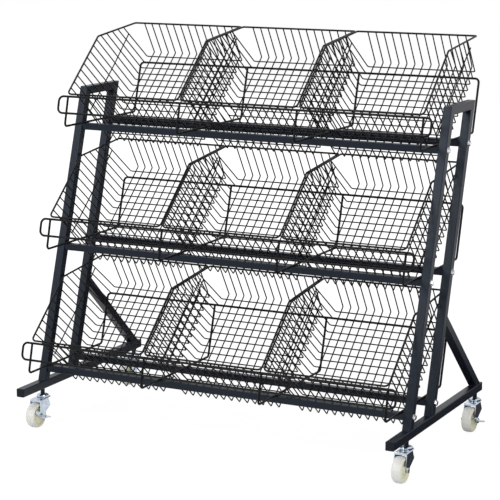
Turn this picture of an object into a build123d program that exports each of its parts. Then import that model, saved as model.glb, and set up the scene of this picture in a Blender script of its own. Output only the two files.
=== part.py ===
from build123d import *
import math
import os

os.makedirs("parts", exist_ok=True)

# Millimetres, +Z up, origin on the floor under the middle of the stand's whole depth.
# Side frames of square tube
foot_length = 690
foot_front = -361
foot_underside = 112
tube_side = 25
tube_wall = 1.5
tube_corner = 2
post_lean = 17.4
post_setback = 115
post_spacing = 162
cap_rise = 118
brace_rise = 265
brace_inset = 17
plug_cap = 2
plug_depth = 14
plug_clearance = 0.1

# Crossbars and their bolts
bar_side = 20
bar_wall = 1.5
bar_corner = 1.5
bar_rise = 34
tier_rise = 352.5
nut_plate = 4
bolt_diameter = 8
bolt_hole = 8.4
bolt_head = 13
bolt_head_height = 5.5
bolt_flange = 17
bolt_flange_height = 1.6
bolt_reach = 8

# Wire cradle on each pair of crossbars
cradle_wire_diameter = 6
bracket_inset = 9
bracket_offset = 3
bracket_front = 122
bracket_back = 126
bracket_lean = 14
rail_back = 171
rail_drop = 24
rail_corner = 11
loop_overhang = 26.5
loop_height = 50
loop_rise = 39
loop_corner = 14

# Wire baskets
basket_wire_diameter = 3
rim_wire_diameter = 5
floor_slope = 41.5
front_slope = 40.5
floor_length = 373
front_length = 243
back_height = 112
back_lean = 32.2
rim_run = 239
rim_width = 373
rim_corner = 11
wall_flare = 17.5
long_count = 13
long_inset = 16
cross_count = 14
cross_start = 22.5
cross_end = 25.5
side_wire_height = 115
side_wire_step = 3.2
seat_gap = 0.3
basket_gap = 7
row_margin = 5

# Castors
castor_front = 120
castor_rear = 29
castor_trail = 39
wheel_diameter = 75
wheel_width = 30
wheel_edge = 35
wheel_edge_round = 2.5
wheel_face = 20
hub_width = 32
hub_diameter = 23
rim_inside = 28
axle_diameter = 8
axle_head = 13
axle_head_height = 5
axle_nut_height = 6.5
running_gap = 0.05
fork_gap = 0.5
fork_sheet = 2.5
fork_bend = 4
fork_top = 86
fork_nose = 41
fork_back_corner = 8
fork_lip = 7
fork_tail = 13
fork_tail_height = 59
fork_boss = 8
swivel_diameter = 12
swivel_gap = 0.3
rivet_diameter = 18
rivet_height = 3
cap_diameter = 37
cap_rim = 5
cap_height = 9.2
cap_bulge = 1.6
stud_diameter = 10
stud_reach = 13
socket_diameter = 13
brake_sheet = 2
brake_arm = 24
brake_arm_rise = 15
brake_arm_end = 5
brake_heel = 17
brake_heel_drop = 6
pedal_length = 22
pedal_width = 16

# Values that follow from the sizes above
tier_names = ("upper", "middle", "lower")
column_names = ("left", "centre", "right")
basket_pitch = rim_width + basket_gap
bar_end = len(column_names) * basket_pitch / 2 + row_margin
frame_x = bar_end + tube_side / 2
lean_tan = math.tan(math.radians(post_lean))
tube_span = tube_side / math.cos(math.radians(post_lean))
foot_top = foot_underside + tube_side
top_bar_height = foot_top + bar_rise + (len(tier_names) - 1) * tier_rise
frame_height = top_bar_height + cap_rise
brace_height = foot_top + brace_rise
tier_step = Vector(0, -tier_rise * lean_tan, -tier_rise)


def front_face(height):
    return foot_front + post_setback + (height - foot_top) * lean_tan


def slope(angle):
    return Vector(0, math.cos(math.radians(angle)), math.sin(math.radians(angle)))


def trimmed(solid, *cuts):
    # Each cut is a point and a direction; what lies beyond it in that direction goes.
    for point, direction in cuts:
        solid = solid.split(Plane(origin=point, z_dir=direction), keep=Keep.BOTTOM)
    return solid


def tube(start, end, side, wall, corner, *cuts):
    along = (end - start).normalized()
    sideways = Vector(0, 1, 0) if abs(along.X) > 0.5 else Vector(1, 0, 0)
    section = RectangleRounded(side, side, corner) - Rectangle(side - 2 * wall, side - 2 * wall)
    plane = Plane(origin=start - along * 2 * side, x_dir=sideways, z_dir=along)
    solid = extrude(plane * section, amount=(end - start).length + 4 * side).solid()
    return trimmed(solid, *cuts)


def flats(diameter, sides):
    # Width across flats of a bar with the same section area as round wire.
    return diameter * math.sqrt(math.pi / (sides * math.tan(math.pi / sides)))


def bent_wire(points, diameter, sides, flat_towards, roll=0):
    plane = Plane(origin=points[0], x_dir=flat_towards, z_dir=points[1] - points[0])
    apothem = flats(diameter, sides) / 2
    section = RegularPolygon(apothem, sides, major_radius=False, rotation=180 / sides + roll)
    return sweep(plane * section, Polyline(*points), transition=Transition.RIGHT).solid()


def side_path(x, *points):
    return [Vector(x, 0, 0) + point for point in points]


def save(name, *solids):
    shape = solids[0] if len(solids) == 1 else Compound(list(solids))
    export_step(shape, "parts/" + name + ".step")


# Side frames
front_post = Vector(0, front_face(foot_top) + tube_span / 2, foot_top)
rear_post = front_post + Vector(0, post_spacing, 0)
post_run = Vector(0, (frame_height - foot_top) * lean_tan, frame_height - foot_top)
post_axis = post_run.normalized()
post_back = Vector(0, post_axis.Z, -post_axis.Y)
cap_under = frame_height - tube_side
front_outer = Vector(0, front_face(frame_height), frame_height)
front_inner = Vector(0, front_face(cap_under) + tube_span, cap_under)
rear_outer = front_outer + Vector(0, post_spacing + tube_span, 0)
rear_inner = front_inner + Vector(0, post_spacing - tube_span, 0)
front_mitre = (front_outer - front_inner).cross(Vector(1, 0, 0)).normalized()
rear_mitre = (rear_outer - rear_inner).cross(Vector(1, 0, 0)).normalized()
mitres = ((front_post, front_outer, front_mitre), (rear_post, rear_outer, rear_mitre))
brace_top = Vector(0, front_face(brace_height) + post_spacing + tube_span, brace_height)
brace_foot = Vector(0, foot_front + foot_length - brace_inset, foot_top)
brace_axis = (brace_foot - brace_top).normalized()
brace_down = Vector(0, brace_axis.Z, -brace_axis.Y)
bar_heights = [top_bar_height + step * tier_step.Z for step in range(len(tier_names))]
bolt_holes = []
for height in bar_heights:
    for behind in (0, post_spacing):
        centre = Vector(0, front_face(height) + tube_span / 2 + behind, height)
        bolt_holes.append(centre)

plugs = []
for side_name, side in (("left", -1), ("right", 1)):
    middle = Vector(side * frame_x, 0, 0)
    foot_low = middle + Vector(0, foot_front + plug_cap, foot_underside + tube_side / 2)
    foot_high = foot_low + Vector(0, foot_length - 2 * plug_cap, 0)
    foot = tube(foot_low, foot_high, tube_side, tube_wall, tube_corner,
                (foot_low, (0, -1, 0)), (foot_high, (0, 1, 0)))
    drill = Part()
    for centre in bolt_holes:
        drill += Location(middle + centre, (0, 90, 0)) * Cylinder(bolt_hole / 2, 2 * tube_side)
    posts = []
    for base, mitre_point, mitre in mitres:
        beyond = mitre if mitre.dot(post_axis) > 0 else mitre * -1
        post = tube(middle + base, middle + base + post_run, tube_side, tube_wall, tube_corner,
                    (middle + base, (0, 0, -1)), (middle + mitre_point, beyond))
        posts.append((post - drill).solid())
    cap_line = middle + Vector(0, 0, frame_height - tube_side / 2)
    forward = front_mitre if front_mitre.Y < 0 else front_mitre * -1
    backward = rear_mitre if rear_mitre.Y > 0 else rear_mitre * -1
    cap = tube(cap_line + Vector(0, front_outer.Y, 0), cap_line + Vector(0, rear_outer.Y, 0),
               tube_side, tube_wall, tube_corner,
               (middle + front_outer, forward), (middle + rear_outer, backward))
    brace_line = middle + brace_down * (tube_side / 2 if brace_down.Z < 0 else -tube_side / 2)
    brace = tube(brace_line + brace_top, brace_line + brace_foot, tube_side, tube_wall, tube_corner,
                 (middle + brace_top, post_back * -1), (middle + brace_foot, (0, 0, -1)))
    save(side_name + "_foot", foot)
    save(side_name + "_front_post", posts[0])
    save(side_name + "_rear_post", posts[1])
    save(side_name + "_cap", cap)
    save(side_name + "_brace", brace)
    bore = tube_side - 2 * (tube_wall + plug_clearance)
    for foot_end, outward in ((foot_low, -1), (foot_high, 1)):
        face = Plane(origin=foot_end, x_dir=(1, 0, 0), z_dir=(0, outward, 0))
        plug = extrude(face * RectangleRounded(tube_side, tube_side, tube_corner), amount=plug_cap)
        plug += extrude(face * Rectangle(bore, bore), amount=-plug_depth)
        plugs.append(plug.solid())
save("foot_plugs", *plugs)

# Crossbars, nut plates and bolts
plates = []
bolts = []
for number, centre in enumerate(bolt_holes):
    reach = Vector(bar_end, 0, 0)
    bar = tube(centre - reach, centre + reach, bar_side, bar_wall, bar_corner,
               (centre - reach, (-1, 0, 0)), (centre + reach, (1, 0, 0)))
    save(("front", "rear")[number % 2] + "_crossbar_" + tier_names[number // 2], bar)
    inside = bar_side - 2 * bar_wall
    for side in (-1, 1):
        end = Plane(origin=centre + reach * side, x_dir=(0, 1, 0), z_dir=(side, 0, 0))
        plate = extrude(end * (Rectangle(inside, inside) - Circle(bolt_diameter / 2)), amount=-nut_plate)
        plates.append(plate.solid())
        outside = end.offset(tube_side)
        bolt = extrude(outside * Circle(bolt_diameter / 2), amount=-(tube_side + bolt_reach))
        bolt += extrude(outside * Circle(bolt_flange / 2), amount=bolt_flange_height)
        hexagon = RegularPolygon(bolt_head / 2, 6, major_radius=False)
        bolt += extrude(outside.offset(bolt_flange_height) * hexagon, amount=bolt_head_height)
        bolts.append(bolt.solid())
save("crossbar_nut_plates", *plates)
save("crossbar_bolts", *bolts)

# Basket outline in the middle of the top tier, seated on the crossbars' facing edges
wire_flat = flats(basket_wire_diameter, 6)
rim_flat = flats(rim_wire_diameter, 8)
floor_back = slope(floor_slope)
floor_up = slope(floor_slope + 90)
front_up = slope(180 - front_slope)
front_in = slope(90 - front_slope)
seat = wire_flat / 2 + seat_gap
bar_edge = bar_side / 2 - bar_corner
on_rear_bar = bolt_holes[1] + Vector(0, -bar_edge, bar_edge) + floor_up * (bar_corner + seat)
on_front_bar = bolt_holes[0] + Vector(0, bar_edge, bar_edge) + front_in * (bar_corner + seat)
across = on_front_bar - on_rear_bar
valley = on_rear_bar + floor_back * (across.cross(front_up).X / floor_back.cross(front_up).X)
heel = valley + floor_back * floor_length
lip = valley + front_up * front_length
back_top = heel + slope(90 + back_lean) * back_height
knee = lip + floor_back * rim_run
top_run = (back_top - knee).normalized()
top_up = Vector(0, -top_run.Z, top_run.Y)
under_rim = ((lip - floor_up * (rim_flat / 2), floor_up), (knee - top_up * (rim_flat / 2), top_up))

# Rim, one closed wire, with its two front corners bent
half_rim = rim_width / 2
corner_x = half_rim - rim_corner
after_corner = lip + floor_back * rim_corner
rim_points = [lip] + side_path(corner_x, lip) + side_path(half_rim, after_corner, knee, back_top)
rim_points += side_path(-half_rim, back_top, knee, after_corner) + side_path(-corner_x, lip) + [lip]
basket = [bent_wire(rim_points, rim_wire_diameter, 8, floor_up)]

# Long wires under the floor, from the back of the rim to its front
half_floor = half_rim - wall_flare
long_pitch = 2 * (half_floor - long_inset) / (long_count - 1)
for number in range(long_count):
    x = number * long_pitch + long_inset - half_floor
    path = side_path(x, back_top, heel, valley, lip)
    long_wire = bent_wire(path, basket_wire_diameter, 6, (1, 0, 0), 90)
    basket.append(trimmed(long_wire, *under_rim))

# Cross wires on the floor, each bent up both side walls to the rim
cross_pitch = (floor_length - cross_start - cross_end) / (cross_count - 1)
side_marks = []
for number in range(cross_count):
    on_floor = heel - floor_back * (cross_start + number * cross_pitch) + floor_up * wire_flat
    to_front_run = (lip - on_floor).dot(floor_up) / front_up.dot(floor_up)
    to_top_run = (knee - on_floor).dot(top_up) / front_up.dot(top_up)
    rise = min(to_front_run, to_top_run)
    at_rim = on_floor + front_up * rise
    path = side_path(-half_rim, at_rim) + side_path(-half_floor, on_floor)
    path += side_path(half_floor, on_floor) + side_path(half_rim, at_rim)
    cross_wire = bent_wire(path, basket_wire_diameter, 6, front_in, floor_slope + front_slope)
    basket.append(trimmed(cross_wire, *under_rim))
    outside = half_floor + wall_flare * side_wire_height / rise + side_wire_step
    side_marks.append(Vector(outside, 0, 0) + on_floor + front_up * side_wire_height)
    if to_top_run < to_front_run:
        turn = number + 1

# One side wire along each side wall, level with the floor, bent where the rim turns
overrun = floor_back * basket_wire_diameter
ends = [side_marks[0] + overrun, side_marks[turn], side_marks[-1] - overrun]
for side in (-1, 1):
    path = [Vector(side * point.X, point.Y, point.Z) for point in ends]
    basket.append(bent_wire(path, basket_wire_diameter, 6, floor_up, 90))

for tier, tier_name in enumerate(tier_names):
    for column, column_name in enumerate(column_names):
        place = Pos(tier_step * tier + Vector((column - 1) * basket_pitch, 0, 0))
        save(tier_name + "_" + column_name + "_basket", *[place * wire for wire in basket])

# Wire cradles: brackets across the bars, back rail and label loop
bracket_outer = bar_end - bracket_inset
bracket_inner = basket_pitch / 2 - bracket_offset
cradle_flat = flats(cradle_wire_diameter, 8)
bar_top = bolt_holes[0].Z + bar_side / 2 + cradle_flat / 2
low_front = Vector(0, bolt_holes[0].Y - bracket_front, bar_top)
low_back = Vector(0, bolt_holes[1].Y + bracket_back, bar_top)
rail_y = bolt_holes[1].Y + rail_back
floor_line = valley + floor_back * ((rail_y - valley.Y) / floor_back.Y)
rail = floor_line - Vector(0, 0, (seat + cradle_flat / 2) / floor_up.Z)
upright = slope(90 - bracket_lean)
upright_front = slope(180 - bracket_lean)
loop_low = low_front + upright * loop_rise + upright_front * cradle_flat
loop_high = loop_low + upright * loop_height
upright_top = loop_high + upright * (cradle_flat / 2) - upright_front * cradle_flat
back_rise = (rail - low_back).normalized()
rail_under = slope(floor_slope + 225)
brackets = []
for x in (-bracket_outer, -bracket_inner, bracket_inner, bracket_outer):
    path = side_path(x, upright_top, low_front, low_back, rail)
    bracket = bent_wire(path, cradle_wire_diameter, 8, (1, 0, 0))
    if abs(x) == bracket_outer:
        stop = (rail - back_rise * rail_drop, back_rise)
    else:
        stop = (rail + rail_under * (cradle_flat / 2), rail_under * -1)
    brackets.append(trimmed(bracket, stop))

half_rail = bracket_outer - rail_corner
rail_ends = (rail - back_rise * rail_drop, rail - back_rise * rail_corner)
rail_points = side_path(-bracket_outer, *rail_ends) + side_path(-half_rail, rail)
rail_points += side_path(half_rail, rail) + side_path(bracket_outer, *reversed(rail_ends))
rail_bend = back_rise.cross(Vector(1, 0, 0))
rail_roll = rail_bend.get_signed_angle(floor_up, Vector(1, 0, 0))
back_rail = bent_wire(rail_points, cradle_wire_diameter, 8, rail_bend, rail_roll)

half_loop = bracket_outer + loop_overhang
cut_x = half_loop - loop_corner
cut = upright * loop_corner
loop_points = [loop_high] + side_path(cut_x, loop_high)
loop_points += side_path(half_loop, loop_high - cut, loop_low + cut)
loop_points += side_path(cut_x, loop_low) + side_path(-cut_x, loop_low)
loop_points += side_path(-half_loop, loop_low + cut, loop_high - cut)
loop_points += side_path(-cut_x, loop_high) + [loop_high]
label_loop = bent_wire(loop_points, cradle_wire_diameter, 8, upright_front)

for tier, tier_name in enumerate(tier_names):
    place = Pos(tier_step * tier)
    save(tier_name + "_brackets", *[place * bracket for bracket in brackets])
    save(tier_name + "_back_rail", place * back_rail)
    save(tier_name + "_label_loop", place * label_loop)

# Castor pieces about their own stem, on the floor
wheel_radius = wheel_diameter / 2
axle_radius = axle_diameter / 2
bore_radius = axle_radius + running_gap
axle = Vector(0, -castor_trail, wheel_radius)
leg_inside = hub_width / 2 + fork_gap
leg_outside = leg_inside + fork_sheet
wheel_half = [(hub_width / 2, bore_radius), (hub_width / 2, hub_diameter / 2),
              (wheel_face / 2, hub_diameter / 2), (wheel_face / 2, rim_inside),
              (wheel_width / 2, rim_inside), (wheel_width / 2, wheel_edge)]
wheel_other = [(-x, radius) for x, radius in wheel_half]
wheel_outline = Polyline(*wheel_half) + Polyline(*wheel_other)
wheel_outline += ThreePointArc(wheel_other[-1], (0, wheel_radius), wheel_half[-1])
wheel_outline += Line(wheel_other[0], wheel_half[0])
wheel_section = make_face(wheel_outline)
tread_edges = wheel_section.vertices().group_by(Axis.Y)[-1]
wheel_section = fillet(tread_edges, wheel_edge_round)
wheel = Pos(axle) * revolve(Plane.XZ * wheel_section, Axis.X)

# Fork, pressed from sheet: a channel over the wheel, its legs drawn in to the axle, a lip in front
outer_section = RectangleRounded(2 * leg_outside, 2 * fork_top, fork_bend)
inner_height = 2 * (fork_top - fork_sheet)
inner_section = RectangleRounded(2 * leg_inside, inner_height, fork_bend - fork_sheet)
nose = Plane(origin=(0, -fork_nose, 0), x_dir=(-1, 0, 0), z_dir=(0, 1, 0))
crown_length = fork_nose + leg_outside
leg_top = Polyline((-fork_nose, fork_top), (0, fork_top), (fork_tail, fork_tail_height), close=True)
boss = Pos(-castor_trail, wheel_radius) * Circle(fork_boss)
side_view = make_hull(leg_top.edges() + boss.edges())
crown = Rectangle(crown_length, fork_sheet, align=(Align.MIN, Align.MAX))
side_view += Pos(-fork_nose, fork_top) * crown
crown_plan = Rectangle(2 * leg_outside, crown_length, align=(Align.CENTER, Align.MIN))
crown_plan = fillet(crown_plan.vertices().group_by(Axis.Y)[-1], fork_back_corner)
crown_plan = Pos(0, -fork_nose) * crown_plan
fork = extrude(nose * (outer_section - inner_section), amount=crown_length)
fork &= extrude(Plane.YZ * side_view, amount=leg_outside, both=True)
fork &= extrude(crown_plan, amount=fork_top)
lip_space = Pos(0, -fork_nose, fork_top) * Box(2 * leg_outside, 2 * fork_sheet, 2 * fork_lip)
fork += extrude(nose * outer_section, amount=fork_sheet) & lip_space
fork -= Cylinder(swivel_diameter / 2 + running_gap, 2 * fork_top + fork_sheet)
fork -= Location(axle, (0, 90, 0)) * Cylinder(bore_radius, 2 * leg_outside + fork_sheet)
fork = fork.solid()

# Stem with its domed cap above the crown and its riveted end below
under_crown = fork_top - fork_sheet - swivel_gap
cap_low = fork_top + swivel_gap
cap_top = cap_low + cap_height
cap_edge = (cap_diameter / 2, cap_low + cap_rim)
dome_end = (socket_diameter / 2, cap_top)
stem_points = [(0, under_crown - rivet_height), (rivet_diameter / 2, under_crown - rivet_height),
               (rivet_diameter / 2, under_crown), (swivel_diameter / 2, under_crown),
               (swivel_diameter / 2, cap_low), (cap_diameter / 2, cap_low), cap_edge]
stud_points = [dome_end, (stud_diameter / 2, cap_top),
               (stud_diameter / 2, cap_top + stud_reach), (0, cap_top + stud_reach)]
stem_outline = Polyline(*stem_points) + SagittaArc(cap_edge, dome_end, -cap_bulge)
stem_outline += Polyline(*stud_points) + Line(stud_points[-1], stem_points[0])
stem = revolve(Plane.XZ * make_face(stem_outline), Axis.Z)
socket_ring = Circle(socket_diameter / 2) - Circle(stud_diameter / 2 + running_gap)
socket = extrude(Plane.XY.offset(cap_top) * socket_ring, amount=foot_underside - cap_top)


def axle_bolt(head_gap):
    head = RegularPolygon(axle_head / 2, 6, major_radius=False)
    outer = leg_outside + head_gap
    length = outer + leg_outside + axle_nut_height
    bolt = extrude(Plane.YZ.offset(outer) * Circle(axle_radius), amount=-length)
    bolt += extrude(Plane.YZ.offset(outer) * head, amount=axle_head_height)
    nut = extrude(Plane.YZ.offset(-leg_outside) * (head - Circle(axle_radius)), amount=-axle_nut_height)
    return [Pos(axle) * bolt.solid(), Pos(axle) * nut.solid()]


# Side brake: a plate on the axle with a pedal bent out from its heel
brake_inside = leg_outside + swivel_gap
brake_eye = Circle(fork_boss)
arm_end = Pos(-brake_arm, brake_arm_rise) * Circle(brake_arm_end)
heel_end = Pos(brake_heel, -brake_heel_drop) * Circle(fork_boss)
brake_plan = make_hull(arm_end.edges() + brake_eye.edges())
brake_plan += make_hull(heel_end.edges() + brake_eye.edges())
brake_plan -= Circle(bore_radius)
brake = extrude(Plane.YZ.offset(brake_inside) * brake_plan, amount=brake_sheet)
pedal = Rectangle(pedal_length - pedal_width / 2, pedal_width, align=(Align.MIN, Align.CENTER))
pedal += Pos(pedal_length - pedal_width / 2, 0) * Circle(pedal_width / 2)
pedal_place = Pos(brake_inside, brake_heel, -brake_heel_drop - brake_sheet / 2)
brake += pedal_place * extrude(pedal, amount=brake_sheet)
brake = Pos(axle) * brake.solid()

sockets = []
stems = []
for side_name, side in (("left", -1), ("right", 1)):
    for end_name, y in (("front", castor_front), ("rear", foot_length - castor_rear)):
        place = Pos(side * frame_x, foot_front + y, 0)
        name = end_name + "_" + side_name
        braked = name in ("front_left", "rear_right")
        head_gap = brake_sheet + 2 * swivel_gap if braked else 0
        sockets.append(place * socket.solid())
        stems.append(place * stem.solid())
        save(name + "_fork", place * fork)
        save(name + "_wheel", place * wheel.solid())
        save(name + "_axle", *[place * piece for piece in axle_bolt(head_gap)])
        if braked:
            save(name + "_brake", place * brake)
save("castor_sockets", *sockets)
save("castor_stems", *stems)
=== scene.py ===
import math

import bmesh
import bpy
from mathutils import Matrix, Vector


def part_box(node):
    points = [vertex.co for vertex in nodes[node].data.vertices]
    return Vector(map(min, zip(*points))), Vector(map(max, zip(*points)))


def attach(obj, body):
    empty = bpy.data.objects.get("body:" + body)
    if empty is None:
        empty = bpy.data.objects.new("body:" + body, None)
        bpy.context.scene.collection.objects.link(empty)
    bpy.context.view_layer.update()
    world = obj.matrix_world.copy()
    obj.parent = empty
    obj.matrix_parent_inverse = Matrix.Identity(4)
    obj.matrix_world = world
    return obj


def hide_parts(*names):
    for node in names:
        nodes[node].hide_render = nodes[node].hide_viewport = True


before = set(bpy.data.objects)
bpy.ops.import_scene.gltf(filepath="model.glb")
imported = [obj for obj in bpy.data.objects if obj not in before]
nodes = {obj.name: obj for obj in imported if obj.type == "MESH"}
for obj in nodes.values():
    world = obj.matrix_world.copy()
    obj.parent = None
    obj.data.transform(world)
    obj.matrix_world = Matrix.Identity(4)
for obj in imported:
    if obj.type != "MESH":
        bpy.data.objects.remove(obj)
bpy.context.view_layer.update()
scene = bpy.context.scene
scene.view_settings.view_transform = "Standard"
print("frame loaded with", len(nodes), "pieces")


# small helpers for node trees
def addNode(tree, kind, **settings):
    node = tree.nodes.new(kind)
    for key, value in settings.items():
        setattr(node, key, value)
    return node


def plugIn(tree, socket, value):
    # a value is either an output socket to link or a plain number, colour or word
    if isinstance(value, bpy.types.NodeSocket):
        tree.links.new(value, socket)
    else:
        socket.default_value = value


def feed(tree, node, **values):
    for key, value in values.items():
        plugIn(tree, node.inputs[key.replace("_", " ")], value)
    return node


def mathNode(tree, operation, first, second=0.0):
    node = addNode(tree, "ShaderNodeMath", operation=operation)
    plugIn(tree, node.inputs[0], first)
    plugIn(tree, node.inputs[1], second)
    return node.outputs[0]


socketTypes = {float: "NodeSocketFloat", int: "NodeSocketInt", tuple: "NodeSocketColor"}
effectOutputs = {"Color": "NodeSocketColor", "Roughness": "NodeSocketFloat", "Height": "NodeSocketFloat"}
meshOutputs = {"Geometry": "NodeSocketGeometry"}


def newTree(name, kind, inputs, outputs):
    # an input is given by its default, or by its type where it has none
    tree = bpy.data.node_groups.new(name, kind)
    for label, value in inputs.items():
        socketType = socketTypes.get(type(value), value)
        socket = tree.interface.new_socket(name=label, in_out="INPUT", socket_type=socketType)
        if socketType != value:
            socket.default_value = value
    for label, socketType in outputs.items():
        tree.interface.new_socket(name=label, in_out="OUTPUT", socket_type=socketType)
    return tree, addNode(tree, "NodeGroupInput").outputs, addNode(tree, "NodeGroupOutput")


def noise(tree, spot, **values):
    return feed(tree, addNode(tree, "ShaderNodeTexNoise"), Vector=spot, **values).outputs["Fac"]


def blend(tree, first, firstShare, second, secondShare):
    return mathNode(tree, "ADD", mathNode(tree, "MULTIPLY", first, firstShare),
                    mathNode(tree, "MULTIPLY", second, secondShare))


def mixColours(tree, factor, dark, light):
    # sockets 6 and 7 are the Mix node's colours, and its output 2 is the mixed one
    mix = addNode(tree, "ShaderNodeMix", data_type="RGBA")
    plugIn(tree, mix.inputs["Factor"], factor)
    plugIn(tree, mix.inputs[6], dark)
    plugIn(tree, mix.inputs[7], light)
    return mix.outputs[2]


def swing(tree, middle, pattern, spread):
    # noise is 0.5 on the whole, so the result swings both ways
    away = mathNode(tree, "SUBTRACT", pattern, 0.5)
    return mathNode(tree, "ADD", middle, mathNode(tree, "MULTIPLY", away, spread))


# powder coat: soft orange peel, fine tooth and a slow drift in tone
coatSettings = {"driftInTone": 0.75, "toothInTone": 0.25, "toothInHeight": 0.3}


def makeCoatGroup(s):
    tree, ports, result = newTree("powderCoat", "ShaderNodeTree", {
        "Vector": "NodeSocketVector", "Peel Scale": 520.0, "Tooth Scale": 2400.0, "Drift Scale": 7.0,
        "Dark": (0.01, 0.01, 0.01, 1), "Light": (0.03, 0.03, 0.03, 1), "Roughness": 0.4, "Spread": 0.1,
    }, effectOutputs)
    spot = ports["Vector"]
    peel = noise(tree, spot, Scale=ports["Peel Scale"], Detail=2.0, Roughness=0.45)
    tooth = noise(tree, spot, Scale=ports["Tooth Scale"], Detail=1.0)
    drift = noise(tree, spot, Scale=ports["Drift Scale"], Detail=4.0, Roughness=0.6)
    tone = blend(tree, drift, s["driftInTone"], tooth, s["toothInTone"])
    height = mathNode(tree, "ADD", peel, mathNode(tree, "MULTIPLY", tooth, s["toothInHeight"]))
    feed(tree, result, Color=mixColours(tree, tone, ports["Dark"], ports["Light"]), Height=height,
         Roughness=swing(tree, ports["Roughness"], drift, ports["Spread"]))
    return tree


# zinc plate: cloudy spangle and faint rubbed lines
plateSettings = {"cloudLow": 0.32, "cloudHigh": 0.68, "rubStretch": (1.0, 1.0, 0.06)}


def makePlateGroup(s):
    tree, ports, result = newTree("zincPlate", "ShaderNodeTree", {
        "Vector": "NodeSocketVector", "Cloud Scale": 90.0, "Rub Scale": 700.0, "Dark": (0.3, 0.32, 0.36, 1),
        "Light": (0.7, 0.72, 0.75, 1), "Roughness": 0.25, "Spread": 0.15,
    }, effectOutputs)
    spot = ports["Vector"]
    cloud = noise(tree, spot, Scale=ports["Cloud Scale"], Detail=5.0, Roughness=0.55, Distortion=0.6)
    stretch = feed(tree, addNode(tree, "ShaderNodeMapping"), Vector=spot, Scale=s["rubStretch"])
    rub = noise(tree, stretch.outputs["Vector"], Scale=ports["Rub Scale"], Detail=2.0)
    ramp = feed(tree, addNode(tree, "ShaderNodeMapRange"), Value=cloud, From_Min=s["cloudLow"],
                From_Max=s["cloudHigh"])
    feed(tree, result, Color=mixColours(tree, ramp.outputs["Result"], ports["Dark"], ports["Light"]),
         Roughness=swing(tree, ports["Roughness"], rub, ports["Spread"]), Height=rub)
    return tree


def newMaterial(name, **plain):
    material = bpy.data.materials.new(name)
    material.use_nodes = True
    tree = material.node_tree
    return material, tree, feed(tree, tree.nodes["Principled BSDF"], **plain)


def addRelief(tree, shader, height, strength, depth):
    relief = feed(tree, addNode(tree, "ShaderNodeBump"), Height=height, Strength=strength, Distance=depth)
    feed(tree, shader, Normal=relief.outputs["Normal"])


def finishWith(name, group, values, relief, **plain):
    material, tree, shader = newMaterial(name, **plain)
    effect = addNode(tree, "ShaderNodeGroup", node_tree=group)
    plugIn(tree, effect.inputs["Vector"], addNode(tree, "ShaderNodeTexCoord").outputs["Object"])
    for key, value in values.items():
        effect.inputs[key].default_value = value
    feed(tree, shader, Base_Color=effect.outputs["Color"], Roughness=effect.outputs["Roughness"])
    addRelief(tree, shader, effect.outputs["Height"], *relief)
    return material


coatGroup = makeCoatGroup(coatSettings)
plateGroup = makePlateGroup(plateSettings)
frameCoat = finishWith("frameCoat", coatGroup, {
    "Dark": (0.0036, 0.0056, 0.0104, 1), "Light": (0.0072, 0.0108, 0.0190, 1),
    "Roughness": 0.36, "Spread": 0.14,
}, relief=(0.10, 0.0004), Specular_IOR_Level=0.23, Specular_Tint=(0.80, 0.88, 1, 1))
wireCoat = finishWith("wireCoat", coatGroup, {
    "Dark": (0.0018, 0.0020, 0.0026, 1), "Light": (0.0045, 0.0048, 0.0060, 1),
    "Roughness": 0.40, "Spread": 0.14, "Drift Scale": 14.0,
}, relief=(0.08, 0.0003), Specular_IOR_Level=0.12)
plugPlastic = finishWith("plugPlastic", coatGroup, {
    "Dark": (0.0045, 0.0062, 0.0095, 1), "Light": (0.0075, 0.0100, 0.0150, 1),
    "Roughness": 0.52, "Spread": 0.08, "Peel Scale": 1100.0,
}, relief=(0.20, 0.0002), Specular_IOR_Level=0.15)
zincBright = finishWith("zincBright", plateGroup, {
    "Dark": (0.62, 0.64, 0.67, 1), "Light": (0.80, 0.81, 0.83, 1), "Roughness": 0.26,
}, relief=(0.04, 0.0002), Metallic=1.0)
castorSteel = finishWith("castorSteel", plateGroup, {
    "Dark": (0.42, 0.49, 0.58, 1), "Light": (0.62, 0.69, 0.77, 1), "Roughness": 0.20, "Spread": 0.12,
}, relief=(0.03, 0.0002), Metallic=1.0)

# moulded nylon: milky tread, warmer sides
nylonSettings = {
    "tread": (0.71, 0.71, 0.69, 1), "sides": (0.75, 0.735, 0.54, 1), "sideShare": 0.85, "cloudShare": 0.15,
    "roughness": 0.34, "roughSpread": 0.2, "relief": (0.06, 0.0003), "softDepth": (0.006, 0.005, 0.003),
}


def makeNylon(s):
    material, tree, shader = newMaterial(
        "nylonWheel", Subsurface_Weight=0.12, Subsurface_Radius=s["softDepth"], Subsurface_Scale=1.0,
        Specular_IOR_Level=0.45)
    spot = addNode(tree, "ShaderNodeTexCoord").outputs["Object"]
    cloud = noise(tree, spot, Scale=60.0, Detail=4.0)
    grain = noise(tree, spot, Scale=900.0, Detail=2.0)
    warm = addNode(tree, "ShaderNodeAttribute", attribute_name="sideShade").outputs["Fac"]
    tone = blend(tree, warm, s["sideShare"], cloud, s["cloudShare"])
    rough = mathNode(tree, "ADD", s["roughness"], mathNode(tree, "MULTIPLY", cloud, s["roughSpread"]))
    feed(tree, shader, Base_Color=mixColours(tree, tone, s["tread"], s["sides"]), Roughness=rough)
    addRelief(tree, shader, grain, *s["relief"])
    return material


nylonWheel = makeNylon(nylonSettings)
print("finishes made")


# pieces made by node trees
def namedValue(tree, name, kind="FLOAT"):
    attribute = addNode(tree, "GeometryNodeInputNamedAttribute", data_type=kind)
    return feed(tree, attribute, Name=name).outputs["Attribute"]


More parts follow.
